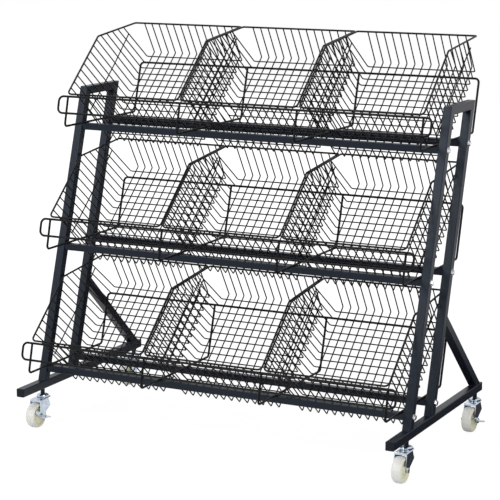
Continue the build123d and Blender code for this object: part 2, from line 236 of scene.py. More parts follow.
def sweepRound(tree, curve, sides, radius):
    section = feed(tree, addNode(tree, "GeometryNodeCurvePrimitiveCircle", mode="RADIUS"), Resolution=sides,
                   Radius=1.0)
    swept = feed(tree, addNode(tree, "GeometryNodeCurveToMesh"), Curve=curve, Scale=radius, Fill_Caps=True,
                 Profile_Curve=section.outputs["Curve"])
    return swept.outputs["Mesh"]


def smoothed(tree, geometry):
    return feed(tree, addNode(tree, "GeometryNodeSetShadeSmooth"), Geometry=geometry).outputs[0]


def endTree(tree, result, geometry, finish):
    real = feed(tree, addNode(tree, "GeometryNodeRealizeInstances"), Geometry=geometry)
    coated = feed(tree, addNode(tree, "GeometryNodeSetMaterial"), Geometry=real.outputs[0], Material=finish)
    tree.links.new(coated.outputs[0], result.inputs[0])


def newObject(name, data):
    piece = bpy.data.objects.new(name, data)
    scene.collection.objects.link(piece)
    return piece


def settle(piece):
    # the modifiers' result becomes the piece's own mesh
    graph = bpy.context.evaluated_depsgraph_get()
    solid = bpy.data.meshes.new_from_object(piece.evaluated_get(graph), depsgraph=graph)
    piece.modifiers.clear()
    piece.data = solid
    solid.name = piece.name
    return piece


def throughNodes(piece, tree, values):
    modifier = piece.modifiers.new(tree.name, "NODES")
    modifier.node_group = tree
    for item in tree.interface.items_tree:
        if item.item_type == "SOCKET" and item.in_out == "INPUT" and item.name in values:
            modifier[item.identifier] = values[item.name]
    return settle(piece)


def placePiece(piece, body, node):
    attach(piece, body)
    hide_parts(node)


# bent wire: paths with a bend radius and a gauge at each point, swept round, with weld spots
def makeWireTree():
    tree, ports, result = newTree("bentWire", "GeometryNodeTree", {
        "Geometry": "NodeSocketGeometry", "Wire Sides": 12, "Bend Steps": 6, "Spot Segments": 8,
        "Spot Rings": 5, "Finish": "NodeSocketMaterial",
    }, meshOutputs)
    path = feed(tree, addNode(tree, "GeometryNodeMeshToCurve"), Mesh=ports["Geometry"])
    rounded = feed(tree, addNode(tree, "GeometryNodeFilletCurve", mode="POLY"), Curve=path.outputs["Curve"],
                   Count=ports["Bend Steps"], Radius=namedValue(tree, "bend"), Limit_Radius=True)
    swept = sweepRound(tree, rounded.outputs["Curve"], ports["Wire Sides"], namedValue(tree, "gauge"))
    size = namedValue(tree, "spot")
    marks = feed(tree, addNode(tree, "GeometryNodeMeshToPoints"), Mesh=ports["Geometry"],
                 Selection=mathNode(tree, "GREATER_THAN", size, 0.0))
    bead = feed(tree, addNode(tree, "GeometryNodeMeshUVSphere"), Segments=ports["Spot Segments"],
                Rings=ports["Spot Rings"], Radius=1.0)
    beads = feed(tree, addNode(tree, "GeometryNodeInstanceOnPoints"), Points=marks.outputs["Points"],
                 Instance=bead.outputs["Mesh"], Scale=size)
    together = addNode(tree, "GeometryNodeJoinGeometry")
    tree.links.new(swept, together.inputs[0])
    tree.links.new(beads.outputs["Instances"], together.inputs[0])
    endTree(tree, result, smoothed(tree, together.outputs[0]), ports["Finish"])
    return tree


def pathPiece(name, wires, spots, shift):
    # a wire is its points, a bend radius for each, its gauge and whether it closes
    # a spot is a point and a size
    points, edges, bends, gauges = [], [], [], []
    for line, radii, gauge, closed in wires:
        first = len(points)
        points += [point + shift for point in line]
        bends += radii
        gauges += [gauge] * len(line)
        edges += [(first + step, first + step + 1) for step in range(len(line) - 1)]
        if closed:
            edges.append((len(points) - 1, first))
    marks = [0.0] * len(points) + [size for point, size in spots]
    points += [point + shift for point, size in spots]
    bends += [0.0] * len(spots)
    gauges += [0.0] * len(spots)
    mesh = bpy.data.meshes.new(name)
    mesh.from_pydata(points, edges, [])
    for label, values in (("bend", bends), ("gauge", gauges), ("spot", marks)):
        mesh.attributes.new(label, "FLOAT", "POINT").data.foreach_set("value", values)
    return newObject(name, mesh)


def across(x, point):
    return Vector((x, point.y, point.z))


def slope(angle):
    # a direction in the side view: 0 is straight back, 90 straight up
    return Vector((0, math.cos(math.radians(angle)), math.sin(math.radians(angle))))


def middleOf(node):
    low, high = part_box(node)
    return (low + high) / 2


wireTree = makeWireTree()
tierNames = ("upper", "middle", "lower")
crossbars = [[across(0, middleOf(end + "_crossbar_" + tierName)) for end in ("front", "rear")]
             for tierName in tierNames]
tierSteps = [front - crossbars[0][0] for front, rear in crossbars]

# wire baskets, side view in slopes (degrees) and lengths, seated on the facing edges of the crossbars
basketSizes = {
    "meshGauge": 0.00185, "rimGauge": 0.0028, "pitch": 0.380, "halfRim": 0.1865, "halfFloor": 0.169,
    "floorSlope": 41.5, "floorLength": 0.373, "frontSlope": 40.5, "frontLength": 0.243, "backLean": 32.2,
    "backHeight": 0.112, "rimRun": 0.239, "barEdge": 0.0085, "seat": 0.0032285,
    "longCount": 13, "longPitch": 0.0255, "longDrop": 0.0008, "crossCount": 14, "crossPitch": 0.025,
    "crossStart": 0.0225, "wireStep": 0.002857, "sideHeight": 0.115, "sideStep": 0.0031, "sideOverrun": 0.003,
    "rimFront": 0.013, "rimKnee": 0.012, "rimBack": 0.006, "longBend": 0.0032, "wallBend": 0.0055,
    "sideBend": 0.02,
    "rimSpot": 0.0021, "rimSpotDrop": 0.0016, "wallSpotDrop": 0.0017, "wallSpotIn": 0.0004,
    "crossSpot": 0.00168, "sideSpotIn": 0.0015,
    "steps": {"Wire Sides": 12, "Bend Steps": 6, "Spot Segments": 8},
}


def basketSide(s, frontBar, rearBar):
    floorBack, floorUp = slope(s["floorSlope"]), slope(s["floorSlope"] + 90)
    frontUp, frontIn = slope(180 - s["frontSlope"]), slope(90 - s["frontSlope"])
    onFront = frontBar + Vector((0, s["barEdge"], s["barEdge"])) + frontIn * s["seat"]
    onRear = rearBar + Vector((0, -s["barEdge"], s["barEdge"])) + floorUp * s["seat"]
    valley = onRear + floorBack * ((onFront - onRear).dot(frontIn) / floorBack.dot(frontIn))
    heel = valley + floorBack * s["floorLength"]
    lip = valley + frontUp * s["frontLength"]
    knee = lip + floorBack * s["rimRun"]
    backTop = heel + slope(90 + s["backLean"]) * s["backHeight"]
    return valley, heel, lip, knee, backTop


def basketWires(s, valley, heel, lip, knee, backTop):
    floorBack, floorUp = slope(s["floorSlope"]), slope(s["floorSlope"] + 90)
    frontUp = slope(180 - s["frontSlope"])
    topRun = (backTop - knee).normalized()
    topUp = Vector((0, -topRun.z, topRun.y))
    half, halfFloor, mesh = s["halfRim"], s["halfFloor"], s["meshGauge"]
    rim = [across(half, p) for p in (lip, knee, backTop)] + [across(-half, p) for p in (backTop, knee, lip)]
    rimBends = [s["rimFront"], s["rimKnee"], s["rimBack"]]
    wires, spots = [(rim, rimBends + rimBends[::-1], s["rimGauge"], True)], []
    longs = [(n - (s["longCount"] - 1) / 2) * s["longPitch"] for n in range(s["longCount"])]
    for x in longs:
        line = [across(x, p) for p in (backTop - Vector((0, 0, s["longDrop"])), heel, valley, lip)]
        wires.append((line, [0.0, s["longBend"], s["longBend"], 0.0], mesh, False))
        spots += [(across(x, p - floorUp * s["rimSpotDrop"]), s["rimSpot"]) for p in (backTop, lip)]
    marks = []
    for n in range(s["crossCount"]):
        low = heel - floorBack * (s["crossStart"] + n * s["crossPitch"]) + floorUp * s["wireStep"]
        toFront = (lip - low).dot(floorUp) / frontUp.dot(floorUp)
        toTop = (knee - low).dot(topUp) / frontUp.dot(topUp)
        if toTop < toFront:
            turn = n + 1   # the first cross wire in front of the rim's knee
        rise = min(toFront, toTop)
        high = low + frontUp * rise
        line = [across(-half, high), across(-halfFloor, low), across(halfFloor, low), across(half, high)]
        wires.append((line, [0.0, s["wallBend"], s["wallBend"], 0.0], mesh, False))
        spots += [(across(x, low - floorUp * s["wireStep"] / 2), s["crossSpot"]) for x in longs]
        spots += [(across(side * (half - s["wallSpotIn"]), high - frontUp * s["wallSpotDrop"]), s["rimSpot"])
                  for side in (-1, 1)]
        flare = halfFloor + (half - halfFloor) * s["sideHeight"] / rise + s["sideStep"]
        marks.append(across(flare, low + frontUp * s["sideHeight"]))
    overrun = floorBack * s["sideOverrun"]
    for side in (-1, 1):
        line = [across(side * p.x, p) for p in (marks[0] + overrun, marks[turn], marks[-1] - overrun)]
        wires.append((line, [0.0, s["sideBend"], 0.0], mesh, False))
        for n, mark in enumerate(marks):
            onWire = mark.x if n >= turn else marks[turn].lerp(marks[0], (turn - n) / turn).x
            spots.append((across(side * (onWire - s["sideSpotIn"]), mark), s["crossSpot"]))
    return wires, spots


basketCorners = basketSide(basketSizes, *crossbars[0])
wires, spots = basketWires(basketSizes, *basketCorners)
for tierName, tierStep in zip(tierNames, tierSteps):
    for column, columnName in enumerate(("left", "centre", "right")):
        label = tierName + "_" + columnName
        shift = tierStep + Vector(((column - 1) * basketSizes["pitch"], 0, 0))
        basket = pathPiece("wire_basket_" + label, wires, spots, shift)
        throughNodes(basket, wireTree, {**basketSizes["steps"], "Finish": wireCoat})
        placePiece(basket, "basket_" + label, label + "_basket")
print("baskets bent,", len(basket.data.polygons), "faces each")

# wire cradles, measured from the crossbars; flat is the step from one wire to the one welded on it
cradleSizes = {
    "gauge": 0.0033, "flat": 0.005842, "onBar": 0.012921, "outer": 0.566, "inner": 0.187,
    "front": 0.122, "back": 0.126, "lean": 14, "bracketBend": 0.009,
    "railBack": 0.171, "railUnder": 0.006208, "railDrop": 0.024, "railBend": 0.012, "railLap": 0.001,
    "loopRise": 0.039, "loopHeight": 0.050, "halfLoop": 0.5925, "loopBend": 0.015,
    "spot": 0.0034, "railSpot": 0.00374, "railSpotDrop": 0.002, "loopSpotIn": 0.002886,
    "steps": {"Wire Sides": 18, "Bend Steps": 8, "Spot Segments": 10},
}
bracketRow = (-cradleSizes["outer"], -cradleSizes["inner"], cradleSizes["inner"], cradleSizes["outer"])


def cradleWires(s, frontBar, rearBar, valley, floorBack):
    upright, forward = slope(90 - s["lean"]), slope(180 - s["lean"])
    lowFront = frontBar + Vector((0, -s["front"], s["onBar"]))
    lowBack = rearBar + Vector((0, s["back"], s["onBar"]))
    loopLow = lowFront + upright * s["loopRise"] + forward * s["flat"]
    loopHigh = loopLow + upright * s["loopHeight"]
    uprightTop = loopHigh + upright * s["flat"] / 2 - forward * s["flat"]
    underFloor = valley + floorBack * ((rearBar.y + s["railBack"] - valley.y) / floorBack.y)
    rail = underFloor - Vector((0, 0, s["railUnder"]))
    rise = (rail - lowBack).normalized()
    seam = rail - rise * s["railDrop"]
    outer, half, gauge = s["outer"], s["halfLoop"], s["gauge"]
    brackets, railSpots, loopSpots = [], [], []
    for x in bracketRow:
        if abs(x) == outer:
            top = seam   # the rail's turned down end stands on the bracket
            railSpots.append((across(x, seam), s["spot"]))
        else:
            top = rail - rise * s["railLap"]
            railSpots.append((across(x, rail - rise * s["railSpotDrop"]), s["railSpot"]))
        line = [across(x, p) for p in (uprightTop, lowFront, lowBack, top)]
        brackets.append((line, [0.0, s["bracketBend"], s["bracketBend"], 0.0], gauge, False))
        loopSpots += [(across(x, p - forward * s["loopSpotIn"]), s["spot"]) for p in (loopLow, loopHigh)]
    railLine = [across(-outer, seam), across(-outer, rail), across(outer, rail), across(outer, seam)]
    rails = [(railLine, [0.0, s["railBend"], s["railBend"], 0.0], gauge, False)]
    loopLine = [across(-half, loopLow), across(half, loopLow),
                across(half, loopHigh), across(-half, loopHigh)]
    loops = [(loopLine, [s["loopBend"]] * len(loopLine), gauge, True)]
    return ("brackets", brackets, []), ("back_rail", rails, railSpots), ("label_loop", loops, loopSpots)


cradle = cradleWires(cradleSizes, *crossbars[0], basketCorners[0], slope(basketSizes["floorSlope"]))
for tierName, tierStep in zip(tierNames, tierSteps):
    for kind, wires, spots in cradle:
        piece = pathPiece("cradle_" + kind + "_" + tierName, wires, spots, tierStep)
        throughNodes(piece, wireTree, {**cradleSizes["steps"], "Finish": wireCoat})
        placePiece(piece, "stand", tierName + "_" + kind)
print("cradles bent")


# an outline with a round at each of its (along, out, round) corners
def roundedLoop(corners, steps=6):
    outline = []
    for number, (along, out, bend) in enumerate(corners):
        here = Vector((along, out))
        if not bend:
            outline.append(here)
            continue
        before = (Vector(corners[number - 1][:2]) - here).normalized()
        after = (Vector(corners[(number + 1) % len(corners)][:2]) - here).normalized()
        turn = before.angle(after)
        back = bend / math.tan(turn / 2)
        middle = here + (before + after).normalized() * (bend / math.sin(turn / 2))
        start, end = here + before * back - middle, here + after * back - middle
        sweep = start.angle_signed(end)
        for step in range(steps + 1):
            arm = start.copy()
            arm.rotate(Matrix.Rotation(-sweep * step / steps, 2))
            outline.append(middle + arm)
    return outline


def turnedRing(name, outline, centre, segments):
    # the outline's (along, radius) points spun about X
    points, faces = [], []
    count = len(outline)
    for turn in range(segments):
        angle = 2 * math.pi * turn / segments
        points += [centre + Vector((along, radius * math.cos(angle), radius * math.sin(angle)))
                   for along, radius in outline]
        here, follow = turn * count, (turn + 1) % segments * count
        for number in range(count):
            step = (number + 1) % count
            faces.append((here + number, here + step, follow + step, follow + number))
    mesh = bpy.data.meshes.new(name)
    mesh.from_pydata(points, [], faces)
    return mesh


def cleanShade(mesh, angle):
    shape = bmesh.new()
    shape.from_mesh(mesh)
    bmesh.ops.recalc_face_normals(shape, faces=shape.faces)
    shape.to_mesh(mesh)
    shape.free()
    mesh.polygons.foreach_set("use_smooth", [True] * len(mesh.polygons))
    mesh.set_sharp_from_angle(angle=math.radians(angle))


# wheels: half widths and radii, then the rounds from the hub out to the tread
corners = ("front_left", "front_right", "rear_left", "rear_right")
wheelSizes = {
    "bore": 0.00405, "hub": 0.0115, "hubHalf": 0.016, "dishHalf": 0.010, "rimInside": 0.028, "rimHalf": 0.015,
    "edge": 0.035, "crown": 0.0375, "crownHalf": 0.0055, "hubDraft": 0.0006, "dishDraft": 0.0004,
    "rimDraft": 0.0008, "hubRound": 0.001, "hubRoot": 0.0022, "rimRoot": 0.003, "rimRound": 0.0014,
    "treadRound": 0.0055, "shadeEdge": 0.0352, "shadeFade": 0.003, "segments": 72, "sharpAngle": 50,
}


def wheelOutline(s):
    half = [(s["hubHalf"], s["bore"], 0),
            (s["hubHalf"], s["hub"], s["hubRound"]),
            (s["dishHalf"], s["hub"] + s["hubDraft"], s["hubRoot"]),
            (s["dishHalf"] + s["dishDraft"], s["rimInside"], s["rimRoot"]),
            (s["rimHalf"], s["rimInside"] + s["rimDraft"], s["rimRound"]),
            (s["rimHalf"], s["edge"], s["treadRound"]),
            (s["crownHalf"], s["crown"], 0)]
    return roundedLoop(half + [(-along, radius, bend) for along, radius, bend in reversed(half)])


def wheelMesh(s, name, centre):
    outline = wheelOutline(s)
    mesh = turnedRing(name, outline, centre, s["segments"])
    # 0 on the tread, 1 on the dished sides
    shade = [min(1.0, max(0.0, (s["shadeEdge"] - radius) / s["shadeFade"])) for along, radius in outline]
    mesh.attributes.new("sideShade", "FLOAT", "POINT").data.foreach_set("value", shade * s["segments"])
    cleanShade(mesh, s["sharpAngle"])
    return mesh


for corner in corners:
    name = "nylon_wheel_" + corner
    wheel = newObject(name, wheelMesh(wheelSizes, name, middleOf(corner + "_wheel")))
    wheel.data.materials.append(nylonWheel)
    placePiece(wheel, "roller_" + corner, corner + "_wheel")
print("wheels turned")

# plated castor pieces and plugs: their solids with the sharp edges eased, save where plates meet
easeSettings = {"merge": 0.000002, "flatAngle": 0.6, "edgeAngle": 35, "segments": 2, "profile": 0.5,
                "sharpAngle": 50, "flatWeight": 100}


def easedCopy(s, node, width, meets):
    mesh = nodes[node].data.copy()
    shape = bmesh.new()
    shape.from_mesh(mesh)
    bmesh.ops.remove_doubles(shape, verts=shape.verts, dist=s["merge"])
    bmesh.ops.dissolve_limit(shape, angle_limit=math.radians(s["flatAngle"]), verts=shape.verts,
                             edges=shape.edges)
    sharp = [edge for edge in shape.edges if len(edge.link_faces) == 2
             and edge.calc_face_angle() > math.radians(s["edgeAngle"])
             and not any(meets(vert.co) for vert in edge.verts)]
    bmesh.ops.bevel(shape, geom=sharp, offset=width, segments=s["segments"], profile=s["profile"],
                    affect="EDGES")
    bmesh.ops.dissolve_degenerate(shape, dist=s["merge"], edges=shape.edges)
    shape.to_mesh(mesh)
    shape.free()
    mesh.materials.clear()
    return mesh


def flatPiece(name, mesh, finish, body, node):
    cleanShade(mesh, easeSettings["sharpAngle"])
    mesh.materials.append(finish)
    piece = newObject(name, mesh)
    flats = piece.modifiers.new("flatFaces", "WEIGHTED_NORMAL")   # faces stay flat up to their eased edges
    flats.keep_sharp = True
    flats.weight = easeSettings["flatWeight"]
    placePiece(settle(piece), body, node)


def easedPiece(name, node, width, finish, body, meets=lambda spot: False):
    flatPiece(name, easedCopy(easeSettings, node, width, meets), finish, body, node)


brakeSizes = {"ease": 0.0004, "plate": 0.0027, "pedal": (0.0300, 0.0330)}   # where plate and pedal meet
for corner in ("front_left", "rear_right"):
    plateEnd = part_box(corner + "_brake")[0].x + brakeSizes["plate"]
    under, over = brakeSizes["pedal"]
    easedPiece("brake_lever_" + corner, corner + "_brake", brakeSizes["ease"], castorSteel, "lever_" + corner,
               lambda spot: spot.x < plateEnd and under < spot.z < over)
# for each piece its node, how wide its edges are eased, its finish and its slot
standPieces = {
    "castor_caps": ("castor_stems", 0.0006, castorSteel, "castor_steel"),
    "castor_bushes": ("castor_sockets", 0.0005, frameCoat, "frame_coat"),
    "tube_plugs": ("foot_plugs", 0.0005, plugPlastic, "plug"),
}
for name, (node, width, finish, slot) in standPieces.items():
    easedPiece(name, node, width, finish, "stand")
print("castor pieces eased")

# forks: a flat blank with eased edges, bent over the wheel, and a lip across its nose
forkSizes = {
    "sheet": 0.0025, "ease": 0.0004, "halfWidth": 0.019, "bend": 0.004, "bendSteps": 6, "cutSnap": 0.0000001,
    "top": 0.086, "nose": -0.041, "tail": 0.019, "tailRound": 0.008, "notch": 0.0012, "notchRound": 0.002,
    "edgeTurn": 1.187,   # how far round the bend the crown's side edge lies, in radians
    "heel": (0.013, 0.059), "heelRound": 0.003, "axle": (-0.039, 0.0375), "boss": 0.008, "bossSteps": 18,
    "bore": 0.00405, "boreSides": 24, "swivel": 0.00605, "swivelSides": 36,
    "lip": 0.007, "lipInset": 0.0001, "lipAhead": 0.00015,
}


def insetLoop(loop, amount):
    # each corner goes to where its two edges meet once both have moved to their left
    moved = []
    for number, here in enumerate(loop):
        before = (here - loop[number - 1]).normalized()
        after = (loop[(number + 1) % len(loop)] - here).normalized()
        left = Vector((-before.y - after.y, before.x + after.x))
        moved.append(here + left * (amount / (1 + before.dot(after))))
    return moved


def holeLoop(centre, radius, count):
    return [centre + Vector((radius * math.cos(turn), -radius * math.sin(turn)))
            for turn in (2 * math.pi * number / count for number in range(count))]


def addPlate(whole, s, loops, cuts, place):
    # outline and holes as one sheet with rounded rims, cut along the bend lines and put in place
    thick, ease = s["sheet"], s["ease"]
    cutIn = ease * (1 - math.sqrt(0.5))   # halfway round the eased rim
    eased = ((ease, 0.0), (cutIn, cutIn), (0.0, ease))
    rim = [(inset, rise - thick / 2) for inset, rise in eased]
    rim += [(inset, thick / 2 - rise) for inset, rise in reversed(eased)]
    shape = bmesh.new()
    ends = ([], [])
    for loop in loops:
        rings = [[shape.verts.new((spot.x, spot.y, level)) for spot in insetLoop(loop, inset)]
                 for inset, level in rim]
        for low, high in zip(rings, rings[1:]):
            for number in range(len(loop)):
                shape.faces.new((low[number - 1], low[number], high[number], high[number - 1]))
        for end, ring in zip(ends, (rings[0], rings[-1])):
            end += [shape.edges.get((ring[number - 1], ring[number])) for number in range(len(ring))]
    for end in ends:
        bmesh.ops.triangle_fill(shape, use_beauty=True, edges=end)
    for cut in cuts:
        bmesh.ops.bisect_plane(shape, geom=shape.verts[:] + shape.edges[:] + shape.faces[:],
                               dist=s["cutSnap"], plane_co=(cut, 0, 0), plane_no=(1, 0, 0))
    for vert in shape.verts:
        vert.co = place(vert.co)
    part = bpy.data.meshes.new("plate")
    shape.to_mesh(part)
    shape.free()
    whole.from_mesh(part)
    bpy.data.meshes.remove(part)


def tangentSpot(spot, centre, radius, side):
    arm = (spot - centre).normalized() * radius
    arm.rotate(Matrix.Rotation(side * math.acos(radius / (spot - centre).length), 2))
    return centre + arm


def forkMesh(s):
    middle = s["bend"] - s["sheet"] / 2   # the sheet's middle in a bend
    flat, floor = s["halfWidth"] - s["bend"], s["top"] - s["bend"]
    turn = middle * math.pi / 2

    def bent(spot):
        side, away = math.copysign(1, spot.x), abs(spot.x) - flat
        if away <= 0:
            return Vector((spot.x, spot.y, floor + middle + spot.z))
        angle = min(away / middle, math.pi / 2)
        out, up = (middle + spot.z) * math.sin(angle), (middle + spot.z) * math.cos(angle)
        return Vector((side * (flat + out), spot.y, floor + up - max(0.0, away - turn)))

    def onLeg(y, z):
        return Vector((flat + turn + floor - z, y))

    start, boss = Vector((flat + turn, s["nose"])), onLeg(*s["axle"])
    heel, edge = onLeg(*s["heel"]), flat + middle * s["edgeTurn"]
    first = tangentSpot(start, boss, s["boss"], 1) - boss
    last = tangentSpot(heel, boss, s["boss"], -1) - boss
    sweep = math.atan2(last.y, last.x) - math.atan2(first.y, first.x)
    half = [(start.x, start.y, 0)]
    for step in range(s["bossSteps"] + 1):
        arm = first.copy()
        arm.rotate(Matrix.Rotation(sweep * step / s["bossSteps"], 2))
        half.append((boss.x + arm.x, boss.y + arm.y, 0))
    half += [(heel.x, heel.y, s["heelRound"]), (edge, s["notch"], s["notchRound"]),
             (edge, s["tail"], s["tailRound"])]
    blank = roundedLoop(half + [(-along, y, bend) for along, y, bend in reversed(half)])
    holes = [holeLoop(Vector((side * boss.x, boss.y)), s["bore"], s["boreSides"]) for side in (-1, 1)]
    holes.append(holeLoop(Vector((0, 0)), s["swivel"], s["swivelSides"]))
    cuts = [side * (flat + turn * step / s["bendSteps"])
            for side in (-1, 1) for step in range(s["bendSteps"] + 1)]
    whole = bmesh.new()
    addPlate(whole, s, [blank] + holes, cuts, bent)
    side, top = s["halfWidth"] - s["lipInset"], s["top"] - s["lipInset"]
    low, front = s["top"] - s["lip"], s["nose"] + s["sheet"] / 2 - s["lipAhead"]
    lip = roundedLoop([(-side, low, 0), (side, low, 0), (side, top, s["bend"]), (-side, top, s["bend"])])
    addPlate(whole, s, [lip], [], lambda spot: Vector((spot.x, front + spot.z, spot.y)))
    mesh = bpy.data.meshes.new("fork")
    whole.to_mesh(mesh)
    whole.free()
    return mesh


for corner in corners:
    low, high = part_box(corner + "_fork")
    fork = forkMesh(forkSizes)
    fork.transform(Matrix.Translation(((low.x + high.x) / 2, high.y - forkSizes["tail"], 0)))
    flatPiece("castor_fork_" + corner, fork, castorSteel, "castor_" + corner,
              corner + "_fork")
print("forks bent")

# hex heads and nuts: rings of (radius, along) for each angle, joined up and capped
hexSizes = {"acrossFlats": 0.013, "chamfer": 0.0060, "chamferAngle": 30, "dish": 0.0003, "dishShare": 0.7,
            "shank": 0.004, "sides": 24, "sharpAngle": 25}


def plainRing(radius, along):
    return lambda angle: (radius, along)


def hexRadius(s, angle):
    part = math.pi / 3
    return s["acrossFlats"] / 2 / math.cos((angle + part / 2) % part - part / 2)


def hexRing(s, along):
    return lambda angle: (hexRadius(s, angle), along)


def chamferRings(s, top, outward):
    # a head's or nut's chamfered end, from its face down to its flats
    tilt = math.tan(math.radians(s["chamferAngle"])) * outward
    return [plainRing(s["chamfer"], top),
            lambda angle: (hexRadius(s, angle), top - (hexRadius(s, angle) - s["chamfer"]) * tilt)]


def loftRings(name, s, rings, place):
    sides = s["sides"]
    points, faces = [], []
    for ring in rings:
        for number in range(sides):
            angle = 2 * math.pi * number / sides
            radius, along = ring(angle)
            points.append(place(radius * math.cos(angle), radius * math.sin(angle), along))
    for low in range(0, (len(rings) - 1) * sides, sides):
        for number in range(sides):
            step = (number + 1) % sides
            faces.append((low + number, low + step, low + sides + step, low + sides + number))
    faces.append(tuple(reversed(range(sides))))
    faces.append(tuple(range((len(rings) - 1) * sides, len(rings) * sides)))
    mesh = bpy.data.meshes.new(name)
    mesh.from_pydata(points, [], faces)
    cleanShade(mesh, s["sharpAngle"])
    mesh.materials.append(zincBright)
    return mesh


# axle bolts with their nuts, along X
axleSizes = {**hexSizes, "headHeight": 0.005, "nutHeight": 0.0065, "tipGap": 0.0004}


def axleRings(s, low, high):
    headBase, nutFace = high - s["headHeight"], low + s["nutHeight"]
    shank, gap = s["shank"], s["tipGap"]
    rings = [plainRing(s["chamfer"] * s["dishShare"], high - s["dish"])] + chamferRings(s, high, 1)
    rings += [hexRing(s, headBase), plainRing(shank, headBase), plainRing(shank, nutFace)]
    rings += chamferRings(s, nutFace, 1) + chamferRings(s, low, -1)[::-1]
    rings += [plainRing(shank + gap, low), plainRing(shank, low + 2 * gap), plainRing(shank, low + gap),
              plainRing(shank - gap, low)]
    return rings


for corner in corners:
    low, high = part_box(corner + "_axle")
    middle = middleOf(corner + "_axle")
    name = "castor_axle_" + corner
    axle = newObject(name, loftRings(name, axleSizes, axleRings(axleSizes, low.x, high.x),
                                    lambda x, y, along: (along, middle.y + x, middle.z + y)))
    placePiece(axle, "castor_" + corner, corner + "_axle")
print("axles cut")

# flanged hex bolts: one shape, set out over the posts by its tree
boltSizes = {**hexSizes, "headHeight": 0.0055, "length": 0.033, "flange": 0.0085, "flangeHeight": 0.0016,
             "flangeEase": 0.0003, "flangeEdge": 0.0009, "flangeIn": 0.0006, "flangeDrop": 0.0001, "seed": 5}


def boltRings(s):
    flange, height, ease = s["flange"], s["flangeHeight"], s["flangeEase"]
    top = height + s["headHeight"]
    rings = [plainRing(s["shank"], -s["length"]), plainRing(s["shank"], 0.0), plainRing(flange - ease, 0.0),
             plainRing(flange, ease), plainRing(flange, s["flangeEdge"]),
             plainRing(flange - s["flangeIn"], height - s["flangeDrop"]), hexRing(s, height)]
    return rings + chamferRings(s, top, 1)[::-1] + [plainRing(s["chamfer"] * s["dishShare"], top - s["dish"])]


def makeBoltTree():
    tree, ports, result = newTree("boltRow", "GeometryNodeTree", {
        "Geometry": "NodeSocketGeometry", "Bolt": "NodeSocketObject", "Seed": 5,
        "Finish": "NodeSocketMaterial",
    }, meshOutputs)
    facing = feed(tree, addNode(tree, "FunctionNodeAlignRotationToVector", axis="Z"),
                  Vector=namedValue(tree, "outward", "FLOAT_VECTOR"))
    tightened = feed(tree, addNode(tree, "FunctionNodeRandomValue", data_type="FLOAT"), Seed=ports["Seed"])
    tightened.inputs[3].default_value = math.pi / 3   # a hexagon looks the same after a sixth of a turn
    spin = feed(tree, addNode(tree, "FunctionNodeAxisAngleToRotation"), Axis=(0, 0, 1),
                Angle=tightened.outputs[1])
    turned = feed(tree, addNode(tree, "FunctionNodeRotateRotation", rotation_space="LOCAL"),
                  Rotation=facing.outputs[0], Rotate_By=spin.outputs[0])
    shape = feed(tree, addNode(tree, "GeometryNodeObjectInfo"), Object=ports["Bolt"])
    points = feed(tree, addNode(tree, "GeometryNodeMeshToPoints"), Mesh=ports["Geometry"])
    bolts = feed(tree, addNode(tree, "GeometryNodeInstanceOnPoints"), Points=points.outputs["Points"],
                 Instance=shape.outputs["Geometry"], Rotation=turned.outputs[0])
    endTree(tree, result, bolts.outputs[0], ports["Finish"])
    return tree


boltMesh = bpy.data.meshes.new("post_bolts")
boltSpots = [(side, across(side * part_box("right_front_post")[1].x, bar))
             for side in (-1, 1) for pair in crossbars for bar in pair]
boltMesh.from_pydata([spot for side, spot in boltSpots], [], [])
boltMesh.attributes.new("outward", "FLOAT_VECTOR", "POINT").data.foreach_set(
    "vector", [value for side, spot in boltSpots for value in (side, 0, 0)])
oneBolt = bpy.data.objects.new("boltShape", loftRings("boltShape", boltSizes, boltRings(boltSizes),
                                                       lambda x, y, along: (x, y, along)))
bolts = throughNodes(newObject("post_bolts", boltMesh), makeBoltTree(),
                     {"Bolt": oneBolt, "Seed": boltSizes["seed"], "Finish": zincBright})
bpy.data.objects.remove(oneBolt)
placePiece(bolts, "stand", "crossbar_bolts")
print("bolts set,", len(bolts.data.polygons), "faces")


# weld beads: a rippled run along each joint, thin at both ends
def makeBeadTree():
    tree, ports, result = newTree("weldBead", "GeometryNodeTree", {
        "Geometry": "NodeSocketGeometry", "Step": 0.0007, "Ripple Length": 0.0026, "Ripple Depth": 0.16,
        "Sides": 10, "Taper": 14.0, "Thin End": 0.25, "Finish": "NodeSocketMaterial",
    }, meshOutputs)
    path = feed(tree, addNode(tree, "GeometryNodeMeshToCurve"), Mesh=ports["Geometry"])
    fine = feed(tree, addNode(tree, "GeometryNodeResampleCurve", mode="LENGTH"), Curve=path.outputs["Curve"],
                Length=ports["Step"])
    along = addNode(tree, "GeometryNodeSplineParameter").outputs
    turns = mathNode(tree, "DIVIDE", mathNode(tree, "MULTIPLY", along["Length"], 2 * math.pi),
                     ports["Ripple Length"])
    swell = mathNode(tree, "ADD", 1.0, mathNode(tree, "MULTIPLY", mathNode(tree, "SINE", turns),
                                                ports["Ripple Depth"]))
    inner = mathNode(tree, "MULTIPLY", along["Factor"], mathNode(tree, "SUBTRACT", 1.0, along["Factor"]))
    taper = mathNode(tree, "SQRT", mathNode(tree, "MULTIPLY", inner, ports["Taper"]))
    taper = mathNode(tree, "MAXIMUM", mathNode(tree, "MINIMUM", 1.0, taper), ports["Thin End"])
    size = mathNode(tree, "MULTIPLY", namedValue(tree, "gauge"), mathNode(tree, "MULTIPLY", swell, taper))
    swept = sweepRound(tree, fine.outputs["Curve"], ports["Sides"], size)
    endTree(tree, result, smoothed(tree, swept), ports["Finish"])
    return tree


weldSizes = {"tubeBead": 0.0021, "tubeHalf": 0.01119, "tubeSide": 0.025, "postLean": 17.4,
             "wireBead": 0.0013, "wireHalf": 0.0085, "beside": 0.0026, "barTop": 0.010}


